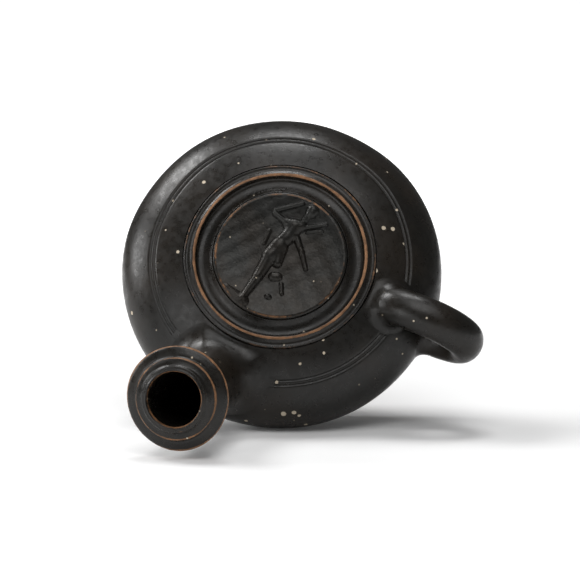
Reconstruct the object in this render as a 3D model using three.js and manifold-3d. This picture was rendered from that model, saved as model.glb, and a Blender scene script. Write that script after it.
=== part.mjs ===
// A guttus: a closed clay pouring vessel with a medallion on top, a leaning spout and a ring handle.
// Millimetres, +Z up. The foot stands on z = 0 and the middle of the footprint is over the origin.

import * as THREE from 'three';
import { mergeVertices } from 'three/addons/utils/BufferGeometryUtils.js';
import Module from 'manifold-3d';

const wasm = await Module();
wasm.setup();

// Body
const bodyDiameter = 105;
const bellyHeight = 25;
const shoulderRise = 17.5;
const bodyWall = 4;
const undersideHeight = 4.2;

// Foot ring
const footDiameter = 61;
const footHeight = 6;
const footBulge = 1.3;
const footTread = 3.6;
const footWidth = 5.6;

// Incised grooves round the shoulder
const grooveDiameter = 84.8;
const grooveSpacing = 1.3;
const grooveWidth = 0.8;
const grooveDepth = 0.5;

// Moulded frame round the medallion
const frameDiameter = 62.4;
const frameDepth = 1.9;
const framePlugDiameter = 53.4;
const frameBoreDiameter = 34;
const raisedEdgeDiameter = 55.8;
const raisedEdgeHeight = 1;
const channelDepth = 2;
const rimThickening = 1.5;

// Medallion
const medallionDiameter = 43.4;
const medallionRise = 1.4;
const medallionRimWidth = 2.4;
const dishDepth = 1.3;
const reliefFlatness = 0.7;
const figureTurn = 29;

// Spout
const neckInset = 8;
const neckRootLean = 33;
const neckDiameter = 19.4;
const neckTopDiameter = 21.6;
const neckBore = 13;
const mouthHeight = 72;
const mouthReach = 63.7;
const mouthLean = 24;

// Mouth
const lipDiameter = 32.9;
const ridgeDiameter = 25.6;
const innerRingDiameter = 20.5;
const throatDiameter = 17.3;
const lipDepth = 6.5;
const crownHeight = 5;

// Handle
const handleTurn = 95;
const handleReach = 71;
const handleLoopWidth = 30.2;
const handleLoopHeight = 19.2;
const handleLift = 8.5;
const rodWidth = 12.8;
const rodThickness = 10.4;

// Clay fillets
const neckFilletWidth = 10.5;
const neckFilletHeight = 12;
const handleFilletWidth = 3.5;
const handleFilletHeight = 4.5;
const filletEdge = 0.5;

// Clearances
const seatGap = 0.3;

// Facets
const roundSteps = 40;
const mouthSteps = 32;
const neckSteps = 24;
const rodSteps = 14;
const filletSteps = 24;

const degrees = Math.PI / 180;
const belly = bodyDiameter / 2;
const frameSeatRadius = frameDiameter / 2 + seatGap;
const footRadius = footDiameter / 2;
const shoulderSemi = shoulderRise / Math.sqrt(1 - (frameSeatRadius / belly) ** 2);
const bowlSemi = (bellyHeight - footHeight) / Math.sqrt(1 - (footRadius / belly) ** 2);
const rimHeight = bellyHeight + shoulderRise;
const ledgeHeight = rimHeight - frameDepth;

function flat(x, y) {
  return new THREE.Vector2(x, y);
}

// A closed mesh as a solid that can be joined and cut.
function toSolid(geometry) {
  const bare = geometry.clone();
  bare.deleteAttribute('normal');
  bare.deleteAttribute('uv');
  const merged = mergeVertices(bare, 1e-4);
  const vertProperties = new Float32Array(merged.attributes.position.array);
  const triVerts = new Uint32Array(merged.index.array);
  return new wasm.Manifold(new wasm.Mesh({ numProp: 3, vertProperties, triVerts }));
}

function toGeometry(solid) {
  const mesh = solid.getMesh();
  const geometry = new THREE.BufferGeometry();
  geometry.setAttribute('position', new THREE.BufferAttribute(mesh.vertProperties, 3));
  geometry.setIndex(new THREE.BufferAttribute(mesh.triVerts, 1));
  return geometry;
}

// A profile of radius and height, turned round the vertical axis. It runs clockwise, seen with
// the radius to the right, and closes on itself.
function turned(profile, steps = roundSteps) {
  const closed = [...profile, profile[0].clone()];
  return new THREE.LatheGeometry(closed, steps).rotateX(Math.PI / 2);
}

// Rings of points joined into a closed skin. It is capped at both ends, or its last ring joins its first.
function skin(rings, capped) {
  const count = rings[0].length;
  const points = rings.flat();
  const index = [];
  const bands = capped ? rings.length - 1 : rings.length;
  for (let i = 0; i < bands; i += 1) {
    const low = i * count;
    const high = ((i + 1) % rings.length) * count;
    for (let j = 0; j < count; j += 1) {
      const k = (j + 1) % count;
      index.push(low + j, low + k, high + k, low + j, high + k, high + j);
    }
  }
  if (capped) {
    capRing(points, index, 0, count, true);
    capRing(points, index, (rings.length - 1) * count, count, false);
  }
  const geometry = new THREE.BufferGeometry().setFromPoints(points);
  geometry.setIndex(index);
  return geometry;
}

function capRing(points, index, start, count, first) {
  const middle = new THREE.Vector3();
  for (let j = 0; j < count; j += 1) {
    middle.addScaledVector(points[start + j], 1 / count);
  }
  points.push(middle);
  for (let j = 0; j < count; j += 1) {
    const a = start + j;
    const b = start + ((j + 1) % count);
    index.push(points.length - 1, first ? b : a, first ? a : b);
  }
}

// The body's outer curve: a quarter of an ellipse above the widest line and one below it.
// An angle of 0 is the widest line, and grow moves the point outward along the curve's normal.
function bodyCurve(angle, grow = 0) {
  const semi = angle < 0 ? bowlSemi : shoulderSemi;
  const normal = flat(Math.cos(angle) / belly, Math.sin(angle) / semi).normalize();
  return flat(belly * Math.cos(angle), bellyHeight + semi * Math.sin(angle)).addScaledVector(normal, grow);
}

function bodyPoint(turn, angle, grow) {
  const point = bodyCurve(angle, grow);
  return new THREE.Vector3(point.x * Math.cos(turn), point.x * Math.sin(turn), point.y);
}

function angleAtRadius(radius) {
  return Math.acos(radius / belly);
}

// Points of the body's outer curve from one angle to another, at equal steps.
function curveRun(from, to, steps, grow = 0) {
  return Array.from({ length: steps + 1 }, (_, i) => bodyCurve(from + ((to - from) * i) / steps, grow));
}

// The body's outer form as one filled solid, grown by a clearance, for cutting what stands on it.
function bodyForm(grow) {
  const top = bodyCurve(angleAtRadius(frameSeatRadius), grow);
  const low = bodyCurve(-angleAtRadius(footRadius), grow);
  const outside = curveRun(-angleAtRadius(footRadius), angleAtRadius(frameSeatRadius), 32, grow);
  return toSolid(turned([flat(0, low.y), ...outside, flat(0, top.y)]));
}

// The foot ring: a flat tread, a bulging outer face and a leaning inner face.
function footRing() {
  const middle = footRadius - footWidth / 2;
  const tread = flat(footRadius + footBulge - 0.5 * footWidth, 0);
  return turned([
    flat(tread.x - footTread / 2, 0),
    flat(tread.x + footTread / 2, 0),
    flat(footRadius + footBulge, footHeight * 0.22),
    flat(footRadius + footBulge, footHeight * 0.5),
    flat(footRadius + footBulge * 0.4, footHeight * 0.78),
    flat(footRadius, footHeight * 0.86),
    flat(footRadius, footHeight),
    flat(middle - footWidth / 2, footHeight),
  ]);
}

// The lower bowl: a flat land for the foot ring, a slightly bellied underside and a level rim.
function lowerBowl() {
  const inside = belly - bodyWall;
  const floor = undersideHeight + bodyWall;
  const steps = 10;
  const land = footRadius - footWidth;
  const outside = curveRun(-angleAtRadius(footRadius), 0, steps);
  const inner = Array.from({ length: steps + 1 }, (_, i) => {
    const angle = ((90 * i) / steps) * degrees;
    return flat(inside * Math.cos(angle), bellyHeight - (bellyHeight - floor) * Math.sin(angle));
  });
  inner[steps].x = 0;
  const underside = [0, 0.45, 0.8].map((share) => (
    flat(land * share, undersideHeight + (footHeight - undersideHeight) * share ** 2)
  ));
  return turned([...underside, flat(land, footHeight), ...outside, ...inner]);
}

// The outer curve of the shoulder with its two incised grooves.
function groovedRun() {
  const points = [];
  const top = angleAtRadius(frameSeatRadius);
  const grooves = [grooveDiameter / 2, grooveDiameter / 2 - grooveSpacing];
  let from = 0;
  for (const radius of grooves) {
    const start = angleAtRadius(radius + grooveWidth / 2);
    const steps = Math.max(1, Math.round((start - from) / (5 * degrees)));
    points.push(...curveRun(from, start, steps));
    points.push(bodyCurve(angleAtRadius(radius), -grooveDepth));
    from = angleAtRadius(radius - grooveWidth / 2);
  }
  points.push(...curveRun(from, top, 4));
  return points;
}

// The shoulder: the grooved upper shell, with a rebate for the frame and a bored hole under the spout.
function shoulder() {
  const inside = belly - bodyWall;
  const insideSemi = shoulderSemi - bodyWall;
  const opening = framePlugDiameter / 2 + seatGap;
  const thick = frameSeatRadius + rimThickening;
  const last = Math.acos(thick / inside);
  const steps = 9;
  const inner = Array.from({ length: steps + 1 }, (_, i) => {
    const angle = last * (1 - i / steps);
    return flat(inside * Math.cos(angle), bellyHeight + insideSemi * Math.sin(angle));
  });
  const shell = toSolid(turned([
    ...groovedRun(),
    flat(frameSeatRadius, ledgeHeight),
    flat(opening, ledgeHeight),
    flat(opening, inner[0].y),
    ...inner,
  ]));
  return toGeometry(shell.subtract(neckHole()));
}

// The medallion frame: a ridge, a raised edge and a hollow channel, with a plug that fills the opening.
function medallionFrame() {
  const outer = frameDiameter / 2;
  const edge = raisedEdgeDiameter / 2;
  const edgeTop = rimHeight + raisedEdgeHeight;
  const pocket = medallionDiameter / 2 + seatGap;
  const plug = framePlugDiameter / 2;
  const bore = frameBoreDiameter / 2;
  const under = plugUnderside();
  const floor = edgeTop - channelDepth;
  const width = edge - pocket;
  return turned([
    flat(plug, under),
    flat(plug, ledgeHeight),
    flat(outer, ledgeHeight),
    flat(outer, rimHeight - 0.1),
    flat(outer - 0.35, rimHeight + 0.3),
    flat(outer - 1, rimHeight + 0.1),
    flat(edge + 1.2, rimHeight + 0.3),
    flat(edge + 0.45, edgeTop - 0.15),
    flat(edge, edgeTop),
    flat(edge - 0.35, edgeTop - 0.1),
    flat(edge - 0.8, floor + 0.5),
    flat(edge - 0.24 * width, floor + 0.1),
    flat(edge - 0.42 * width, floor),
    flat(edge - 0.62 * width, floor + 0.25),
    flat(edge - 0.82 * width, floor + 0.9),
    flat(pocket, edgeTop - 0.4),
    flat(pocket, ledgeHeight),
    flat(bore, ledgeHeight),
    flat(bore, under),
  ]);
}

function plugUnderside() {
  const inside = belly - bodyWall;
  const thick = frameSeatRadius + rimThickening;
  return bellyHeight + (shoulderSemi - bodyWall) * Math.sqrt(1 - (thick / inside) ** 2);
}

// The height of the medallion's dished field at a distance from its middle.
function fieldHeight(distance) {
  const share = Math.min(distance / (medallionDiameter / 2 - medallionRimWidth / 2), 1);
  return rimHeight + medallionRise - dishDepth * (1 - share ** 2);
}

// One rounded form of the relief, half sunk in the field, from one point to another.
function reliefForm(fromX, fromY, toX, toY, radius) {
  const from = new THREE.Vector3(fromX, fromY, fieldHeight(Math.hypot(fromX, fromY)));
  const to = new THREE.Vector3(toX, toY, fieldHeight(Math.hypot(toX, toY)));
  const along = to.clone().sub(from);
  const form = new THREE.CapsuleGeometry(radius, along.length(), 3, 8);
  form.scale(1, 1, reliefFlatness);
  const x = along.clone().normalize();
  const z = new THREE.Vector3(0, 0, 1);
  const side = new THREE.Vector3().crossVectors(x, z).normalize();
  form.applyMatrix4(new THREE.Matrix4().makeBasis(side, x, side.clone().cross(x)));
  form.translate((from.x + to.x) / 2, (from.y + to.y) / 2, (from.z + to.z) / 2);
  return toSolid(form);
}

// The medallion: a dished disc with a rounded rim and a worn standing figure in low relief.
// The forms' ends are in millimetres from the middle of a medallion of the first size.
function medallion() {
  const firstSize = 43.4;
  const radius = medallionDiameter / 2;
  const top = rimHeight + medallionRise;
  const field = [0.88, 0.7, 0.45, 0].map((share) => flat(radius * share, fieldHeight(radius * share)));
  let disc = toSolid(turned([
    flat(0, ledgeHeight),
    flat(radius, ledgeHeight),
    flat(radius, top - 0.7),
    flat(radius - 0.3, top - 0.15),
    flat(radius - medallionRimWidth * 0.35, top),
    ...field,
  ]));
  const figure = {
    head: [10.2, 14.2, 10.8, 15, 2.1],
    throat: [8, 12, 9, 13.2, 1.2],
    shoulders: [2.4, 11, 6.4, 9.8, 2.2],
    back: [3.4, 9, 2, 6.6, 3.2],
    waist: [1, 5.6, -0.6, 3.6, 2.7],
    hips: [-1.4, 2.4, -3.4, 0.6, 2.9],
    straightThigh: [-3.6, -0.2, -7.2, -6.8, 2.3],
    straightShin: [-7.4, -7.2, -11.8, -14.2, 1.6],
    foot: [-11.8, -14.6, -14, -15.2, 1.3],
    bentThigh: [0.6, 2.6, -0.6, -2, 2.2],
    upperArm: [1, 12, -1.4, 15.2, 1.2],
    forearm: [-1.2, 15.6, 6, 16.8, 1.1],
    sideArm: [7, 9.2, 14.4, 9.8, 0.9],
    drapeTop: [5.4, 5.4, 6.8, 1.8, 1.1],
    drapeEnd: [6.8, 1.6, 8, -4.4, 0.9],
    bowl: [-1.8, -7, -1, -7, 1.7],
    stand: [0.4, -9.8, 0.4, -13, 0.8],
  };
  for (const form of Object.values(figure)) {
    disc = disc.add(reliefForm(...form.map((value) => (value * medallionDiameter) / firstSize)));
  }
  return toGeometry(disc).rotateZ(figureTurn * degrees);
}

// The spout's middle line, in the plane x = 0, from inside the shoulder to the mouth.
const neckRootRadius = belly - neckInset;
const neckRootAngle = angleAtRadius(neckRootRadius);
const mouthAxis = leanVector(mouthLean);
const rootAxis = leanVector(neckRootLean);
const neckRoot = bodyPoint(-90 * degrees, neckRootAngle, 0);
const mouthCentre = new THREE.Vector3(0, -mouthReach, mouthHeight);
const neckEnd = mouthCentre.clone().addScaledVector(mouthAxis, -lipDepth);

function leanVector(lean) {
  return new THREE.Vector3(0, -Math.sin(lean * degrees), Math.cos(lean * degrees));
}

const neckSpan = neckEnd.distanceTo(neckRoot);
const neckSunk = 0.35;
const neckLine = new THREE.CubicBezierCurve3(
  neckRoot,
  neckRoot.clone().addScaledVector(rootAxis, neckSpan / 3),
  neckEnd.clone().addScaledVector(mouthAxis, -neckSpan / 3),
  neckEnd,
);

// A ring round the spout at a share of its middle line. Below 0 it goes straight into the body.
function neckRing(share, radius, angle) {
  const within = Math.max(share, 0);
  const axis = neckLine.getTangent(within);
  const centre = neckLine.getPoint(within).addScaledVector(axis, Math.min(share, 0) * neckSpan);
  const side = new THREE.Vector3(1, 0, 0);
  const up = new THREE.Vector3().crossVectors(axis, side);
  return centre
    .addScaledVector(side, radius * Math.cos(angle))
    .addScaledVector(up, radius * Math.sin(angle));
}

function neckRadius(share) {
  return (neckDiameter + (neckTopDiameter - neckDiameter) * Math.max(share, 0) ** 2) / 2;
}

function boreRadius(share) {
  return (neckBore + (throatDiameter - neckBore) * Math.max(share, 0) ** 2) / 2;
}

function ringOf(steps, pointAt) {
  return Array.from({ length: steps }, (_, j) => pointAt((2 * Math.PI * j) / steps));
}

// A length of the spout as a solid, from one share of its line to another.
function neckRod(radiusAt, grow, from, to, steps) {
  const rings = Array.from({ length: steps + 1 }, (_, i) => {
    const share = from + ((to - from) * i) / steps;
    return ringOf(neckSteps, (angle) => neckRing(share, radiusAt(share) + grow, angle));
  });
  return toSolid(skin(rings, true));
}

function neckHole() {
  return neckRod(boreRadius, 0, -0.6, 0.3, 9);
}

// The neck: a leaning, curved tube whose root is cut to the shoulder.
function neck() {
  const steps = 11;
  const shares = Array.from({ length: steps + 1 }, (_, i) => -neckSunk + ((1 + neckSunk) * i) / steps);
  const outside = shares.map((share) => ringOf(neckSteps, (angle) => neckRing(share, neckRadius(share), angle)));
  const inside = shares.map((share) => ringOf(neckSteps, (angle) => neckRing(share, boreRadius(share), angle)));
  const tube = toSolid(skin([...outside, ...inside.reverse()], false));
  return toGeometry(tube.subtract(bodyForm(seatGap)));
}

// The mouth: a flaring lip, a stepped and domed crown with two rings, and the throat.
// It is turned round its own axis, with the widest line of the lip at height 0.
function mouth() {
  const lip = lipDiameter / 2;
  const ridge = ridgeDiameter / 2;
  const inner = innerRingDiameter / 2;
  const throat = throatDiameter / 2;
  const base = neckTopDiameter / 2;
  const low = -lipDepth + seatGap;
  return turned([
    flat(throat, low),
    flat(base, low),
    flat(base + (lip - base) * 0.1, low + lipDepth * 0.3),
    flat(base + (lip - base) * 0.36, low + lipDepth * 0.56),
    flat(base + (lip - base) * 0.78, low + lipDepth * 0.74),
    flat(lip - 0.25, -0.8),
    flat(lip, -0.2),
    flat(lip, 0.3),
    flat(lip - 0.5, 0.8),
    flat(ridge + 1.1, crownHeight * 0.36),
    flat(ridge + 0.5, crownHeight * 0.4),
    flat(ridge, crownHeight * 0.58),
    flat(ridge - 0.6, crownHeight * 0.62),
    flat(inner + 0.5, crownHeight * 0.74),
    flat(inner, crownHeight * 0.9),
    flat(inner - 0.6, crownHeight * 0.93),
    flat(throat + 0.4, crownHeight),
    flat(throat, crownHeight - 0.5),
  ], mouthSteps);
}

// The handle's middle line: an ellipse that stands in the plane of the vessel's axis.
const handleAngle = (handleTurn - 90) * degrees;
const loopRadius = handleLoopWidth / 2;
const loopRise = handleLoopHeight / 2;
const loopCentreRadius = handleReach - rodThickness / 2 - loopRadius;
const loopCentreHeight = bellyHeight + handleLift;

function handlePoint(turn) {
  const radius = loopCentreRadius + loopRadius * Math.cos(turn);
  return new THREE.Vector3(
    radius * Math.cos(handleAngle),
    radius * Math.sin(handleAngle),
    loopCentreHeight + loopRise * Math.sin(turn),
  );
}

// A point on the rod's oval surface: turn goes round the loop and angle round the rod.
function rodPoint(turn, grow, angle) {
  const width = rodWidth / 2 + grow;
  const thick = rodThickness / 2 + grow;
  const across = new THREE.Vector3(-Math.sin(handleAngle), Math.cos(handleAngle), 0);
  const outward = new THREE.Vector3(
    Math.cos(handleAngle) * Math.cos(turn) * loopRise,
    Math.sin(handleAngle) * Math.cos(turn) * loopRise,
    Math.sin(turn) * loopRadius,
  ).normalize();
  return handlePoint(turn)
    .addScaledVector(across, width * Math.cos(angle))
    .addScaledVector(outward, thick * Math.sin(angle));
}

function handleRod(grow) {
  const steps = 34;
  const reach = 150 * degrees;
  const rings = Array.from({ length: steps + 1 }, (_, i) => {
    const turn = reach - (2 * reach * i) / steps;
    return ringOf(rodSteps, (angle) => rodPoint(turn, grow, angle));
  });
  return toSolid(skin(rings, true));
}

// The turn at which the handle's middle line passes through the body's surface, found by halving.
function handleCrossing(outsideTurn, insideTurn) {
  let outside = outsideTurn;
  let inside = insideTurn;
  for (let i = 0; i < 40; i += 1) {
    const middle = (outside + inside) / 2;
    const point = handlePoint(middle);
    const semi = point.z < bellyHeight ? bowlSemi : shoulderSemi;
    const within = (Math.hypot(point.x, point.y) / belly) ** 2 + ((point.z - bellyHeight) / semi) ** 2 < 1;
    if (within) inside = middle;
    else outside = middle;
  }
  return outside;
}

// The turn and the curve angle at which a point lies against the body.
function againstBody(point) {
  const semi = point.z < bellyHeight ? bowlSemi : shoulderSemi;
  return {
    turn: Math.atan2(point.y, point.x),
    angle: Math.atan2((point.z - bellyHeight) / semi, Math.hypot(point.x, point.y) / belly),
  };
}

// The body's grown surface at a point's place, kept outside the medallion frame.
function ontoBody(point, grow) {
  const { turn, angle } = againstBody(point);
  return bodyPoint(turn, Math.min(angle, angleAtRadius(frameSeatRadius + seatGap + grow)), grow);
}

function isOutside(point, grow) {
  const { turn, angle } = againstBody(point);
  const core = new THREE.Vector3(0, 0, bellyHeight);
  return point.distanceTo(core) > bodyPoint(turn, angle, grow).distanceTo(core);
}

// How far along a rod its skin comes out of the body, at one angle round the rod, found by halving.
function outletAlong(rodAt, angle, grow) {
  let inside = -bodyWall * 2;
  let outside = bodyWall * 4;
  for (let i = 0; i < 30; i += 1) {
    const middle = (inside + outside) / 2;
    if (isOutside(rodAt(middle, grow, angle), grow)) outside = middle;
    else inside = middle;
  }
  return outside;
}

// A clay fillet round the root of a rod. At each angle its curve leaves the body along the body
// and joins the rod along the rod, with the corner between them as its control point.
// rodAt(along, grow, angle) is a point of the rod's skin, along millimetres out from its root.
function fillet(rodAt, width, height, cutters) {
  const clear = seatGap + filletEdge;
  const across = 6;
  const curves = ringOf(filletSteps, (angle) => {
    const outlet = outletAlong(rodAt, angle, clear);
    const corner = rodAt(outlet, clear, angle);
    const opposite = rodAt(outlet, clear, angle + Math.PI);
    const outward = corner.clone().sub(opposite).normalize();
    const edge = ontoBody(corner.clone().addScaledVector(outward, width), clear);
    return new THREE.QuadraticBezierCurve3(edge, corner, rodAt(outlet + height, clear, angle));
  });
  const rings = [curves.map((curve) => ontoBody(curve.v0, -bodyWall / 2))];
  for (let i = 0; i <= across; i += 1) {
    rings.push(curves.map((curve) => curve.getPoint(i / across)));
  }
  let solid = toSolid(skin(rings, true));
  for (const cutter of cutters) {
    solid = solid.subtract(cutter);
  }
  return toGeometry(solid);
}

function neckFillet() {
  const rodAt = (along, grow, angle) => neckRing(along / neckSpan, neckRadius(along / neckSpan) + grow, angle);
  return fillet(rodAt, neckFilletWidth, neckFilletHeight, [
    neckRod(neckRadius, seatGap, -0.6, 0.8, 14),
    bodyForm(seatGap),
  ]);
}

// The fillet at one end of the handle. The turn round the loop falls along the rod at the upper
// end and rises at the lower end.
function handleFillet(outsideTurn, insideTurn) {
  const sense = Math.sign(outsideTurn - insideTurn);
  const root = handleCrossing(outsideTurn, insideTurn);
  const speed = Math.hypot(loopRadius * Math.sin(root), loopRise * Math.cos(root));
  const rodAt = (along, grow, angle) => rodPoint(root + (sense * along) / speed, grow, -sense * angle);
  return fillet(rodAt, handleFilletWidth, handleFilletHeight, [handleRod(seatGap), bodyForm(seatGap)]);
}

const glazeBlack = { color: 0x1d1b1a, roughness: 0.42, metalness: 0.0 };
const glazeSheen = { color: 0x232427, roughness: 0.36, metalness: 0.0 };
const glazeWorn = { color: 0x2b2622, roughness: 0.5, metalness: 0.0 };

function piece(name, geometry, finish) {
  geometry.computeVertexNormals();
  const mesh = new THREE.Mesh(geometry, new THREE.MeshStandardMaterial(finish));
  mesh.name = name;
  return mesh;
}

const vessel = new THREE.Group();
vessel.add(
  piece('foot_ring', footRing(), glazeWorn),
  piece('lower_bowl', lowerBowl(), glazeBlack),
  piece('shoulder', shoulder(), glazeBlack),
  piece('medallion_frame', medallionFrame(), glazeWorn),
  piece('medallion', medallion(), glazeSheen),
  piece('neck', neck(), glazeBlack),
  piece('neck_luting', neckFillet(), glazeBlack),
  piece('handle', toGeometry(handleRod(0).subtract(bodyForm(seatGap))), glazeBlack),
  piece('handle_upper_luting', handleFillet(90 * degrees, 150 * degrees), glazeBlack),
  piece('handle_lower_luting', handleFillet(-60 * degrees, -130 * degrees), glazeBlack),
);

const mouthMesh = piece('mouth', mouth(), glazeWorn);
mouthMesh.position.copy(mouthCentre);
mouthMesh.quaternion.setFromUnitVectors(new THREE.Vector3(0, 0, 1), mouthAxis);
vessel.add(mouthMesh);

// The middle of the footprint goes over the origin.
const middle = new THREE.Box3().setFromObject(vessel, true).getCenter(new THREE.Vector3());
vessel.position.set(-middle.x, -middle.y, 0);

const guttus = new THREE.Group();
guttus.add(vessel);

export default guttus;
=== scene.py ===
"""A black-glazed guttus lying on its side: fine forms, worn glaze, stage, lamps and camera."""
import math

import bmesh
import bpy
import numpy as np
from bpy.props import FloatProperty, FloatVectorProperty, PointerProperty
from mathutils import Matrix, Vector


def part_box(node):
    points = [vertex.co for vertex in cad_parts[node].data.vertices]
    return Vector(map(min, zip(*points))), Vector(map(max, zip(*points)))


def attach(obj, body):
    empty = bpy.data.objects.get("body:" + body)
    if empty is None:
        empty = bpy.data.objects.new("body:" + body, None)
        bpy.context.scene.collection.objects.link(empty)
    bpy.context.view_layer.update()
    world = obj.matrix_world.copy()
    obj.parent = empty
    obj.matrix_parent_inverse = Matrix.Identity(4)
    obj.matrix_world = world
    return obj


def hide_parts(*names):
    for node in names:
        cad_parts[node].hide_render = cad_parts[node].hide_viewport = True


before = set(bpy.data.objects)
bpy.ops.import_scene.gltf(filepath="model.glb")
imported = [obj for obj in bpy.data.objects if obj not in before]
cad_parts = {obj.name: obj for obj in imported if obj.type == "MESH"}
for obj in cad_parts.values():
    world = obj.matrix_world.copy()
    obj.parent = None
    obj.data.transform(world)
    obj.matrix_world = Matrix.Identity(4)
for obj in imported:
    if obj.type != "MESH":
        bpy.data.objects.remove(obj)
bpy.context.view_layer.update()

bl_info = {
    "name": "Guttus",
    "version": (1, 0, 0),
    "blender": (4, 5, 0),
    "location": "3D View > Sidebar > Guttus",
    "description": "Builds a black-glazed pouring vessel round its packed frame",
    "category": "Add Mesh",
}

MM = 0.001


def span(node):
    """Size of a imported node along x, y and z."""
    low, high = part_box(node)
    return high - low


SEAT_GAP = 0.3 * MM
FOOT_BULGE = 1.3 * MM
FILLET_SUNK = 0.03 * MM
HOLE_MARGIN = 1.2 * MM
HOLE_DEPTH = 6 * MM
NECK_RUN = (-0.08, 1.01)
SPECULAR_LEVEL = 0.36

# How many columns each kind of piece has round its axis
COLUMNS = 640
TURNED_COLUMNS = 480
SPOUT_COLUMNS = 240
ROD_COLUMNS = 120

# Places and sizes that the frame gives
AXIS = (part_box("foot_ring")[0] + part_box("foot_ring")[1]) / 2
BODY_DIAMETER = span("lower_bowl").x
BELLY_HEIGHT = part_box("shoulder")[0].z
RIM_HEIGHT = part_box("shoulder")[1].z
UNDERSIDE_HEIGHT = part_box("lower_bowl")[0].z
FOOT_DIAMETER = span("foot_ring").x - 2 * FOOT_BULGE
FOOT_HEIGHT = span("foot_ring").z
FRAME_DIAMETER = span("medallion_frame").x
MEDALLION_DIAMETER = span("medallion").x


def length(name, description, default):
    limits = {"min": 0.0, "unit": "LENGTH", "precision": 5}
    return FloatProperty(name=name, description=description, default=default, **limits)


def turn(name, description, default):
    angle = math.radians(default)
    return FloatProperty(name=name, description=description, default=angle, subtype="ANGLE")


def share(name, description, default):
    limits = {"min": 0.0, "max": 1.0, "subtype": "FACTOR"}
    return FloatProperty(name=name, description=description, default=default, **limits)


def colour(name, description, default):
    limits = {"min": 0.0, "max": 1.0, "subtype": "COLOR"}
    return FloatVectorProperty(name=name, description=description, default=default, **limits)


class GuttusSizes(bpy.types.PropertyGroup):
    """Sizes of the vessel's forms."""

    body_diameter: length("Body diameter", "Width of the body at its widest line", BODY_DIAMETER)
    belly_height: length("Belly height", "Height of the widest line above the table", BELLY_HEIGHT)
    rim_height: length("Rim height", "Height of the shoulder's top edge", RIM_HEIGHT)
    body_wall: length("Body wall", "Thickness of the thrown wall", 4 * MM)
    underside_height: length("Underside height", "Height of the underside at its middle", UNDERSIDE_HEIGHT)
    foot_diameter: length("Foot diameter", "Outer width of the foot at the bowl", FOOT_DIAMETER)
    foot_height: length("Foot height", "Height of the foot ring", FOOT_HEIGHT)
    foot_bulge: length("Foot bulge", "How far the foot's outer face swells", FOOT_BULGE)
    foot_width: length("Foot width", "Width of the ring where it joins the bowl", 5.6 * MM)
    foot_tread: length("Foot tread", "Width of the flat resting face", 3.6 * MM)
    groove_diameter: length("Groove diameter", "Diameter of the outer incised groove", 84.8 * MM)
    groove_spacing: length("Groove spacing", "Distance between the two grooves", 1.3 * MM)
    groove_width: length("Groove width", "Width of a groove", 0.8 * MM)
    groove_depth: length("Groove depth", "Depth of a groove", 0.45 * MM)
    frame_diameter: length("Frame diameter", "Outer width of the medallion's frame", FRAME_DIAMETER)
    frame_depth: length("Frame depth", "Depth of the frame's seat below the rim", 1.9 * MM)
    plug_diameter: length("Plug diameter", "Width of the frame's plug in the shoulder", 53.4 * MM)
    plug_bore: length("Plug bore", "Width of the opening under the medallion", 34 * MM)
    edge_diameter: length("Raised edge", "Diameter of the frame's raised edge", 55.8 * MM)
    edge_height: length("Raised edge height", "Height of the raised edge above the rim", 1 * MM)
    channel_depth: length("Channel depth", "Depth of the frame's channel below its edge", 2 * MM)
    medallion_diameter: length("Medallion diameter", "Width of the relief disc", MEDALLION_DIAMETER)
    medallion_rise: length("Medallion rise", "Height of the disc's rim above the shoulder", 1.4 * MM)
    medallion_rim: length("Medallion rim", "Width of the disc's rounded rim", 2.4 * MM)
    dish_depth: length("Dish depth", "Depth of the disc's field below its rim", 1.3 * MM)
    relief_height: length("Relief height", "Height of the highest form of the figure", 2 * MM)
    neck_inset: length("Neck inset", "Distance of the spout's root inside the widest line", 8 * MM)
    neck_diameter: length("Neck diameter", "Width of the spout at its root", 19.4 * MM)
    neck_top: length("Neck top", "Width of the spout under the mouth", 21.6 * MM)
    neck_bore: length("Neck bore", "Bore of the spout at its root", 13 * MM)
    mouth_height: length("Mouth height", "Height of the lip's centre", 72 * MM)
    mouth_reach: length("Mouth reach", "Distance of the lip's centre from the vessel's axis", 63.7 * MM)
    lip_diameter: length("Lip diameter", "Width of the flaring lip", 32.9 * MM)
    ridge_diameter: length("Ridge diameter", "Width of the stepped ridge", 25.6 * MM)
    inner_ring: length("Inner ring", "Width of the fine ring inside the ridge", 20.5 * MM)
    throat_diameter: length("Throat diameter", "Width of the throat", 17.3 * MM)
    lip_depth: length("Lip depth", "Depth of the mouth below its widest line", 6.5 * MM)
    crown_height: length("Crown height", "Height of the domed mouth above its widest line", 5 * MM)
    handle_reach: length("Handle reach", "Distance of the ring's outside from the axis", 71 * MM)
    loop_width: length("Loop width", "Width of the ring handle's middle line", 30.2 * MM)
    loop_height: length("Loop height", "Height of the ring handle's middle line", 19.2 * MM)
    handle_lift: length("Handle lift", "Height of the ring's middle above the widest line", 8.5 * MM)
    rod_width: length("Rod width", "Width of the handle's oval rod", 12.8 * MM)
    rod_thickness: length("Rod thickness", "Thickness of the handle's oval rod", 10.4 * MM)
    neck_fillet_width: length("Neck fillet width", "Spread of the clay round the spout's root", 10.5 * MM)
    neck_fillet_height: length("Neck fillet height", "Height of the clay up the spout", 12 * MM)
    handle_fillet_width: length("Handle fillet width", "Spread of the clay round a handle root", 3.5 * MM)
    handle_fillet_height: length("Handle fillet height", "Height of the clay up the handle", 4.5 * MM)
    unevenness: length("Unevenness", "Swell of the hand-made surface", 0.14 * MM)
    neck_lean: turn("Neck lean", "Lean of the spout at its root", 33)
    mouth_lean: turn("Mouth lean", "Lean of the mouth", 24)
    handle_turn: turn("Handle turn", "Turn of the handle past the x axis", 5)
    figure_turn: turn("Figure turn", "Turn of the relief figure on the vessel", 29)


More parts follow.
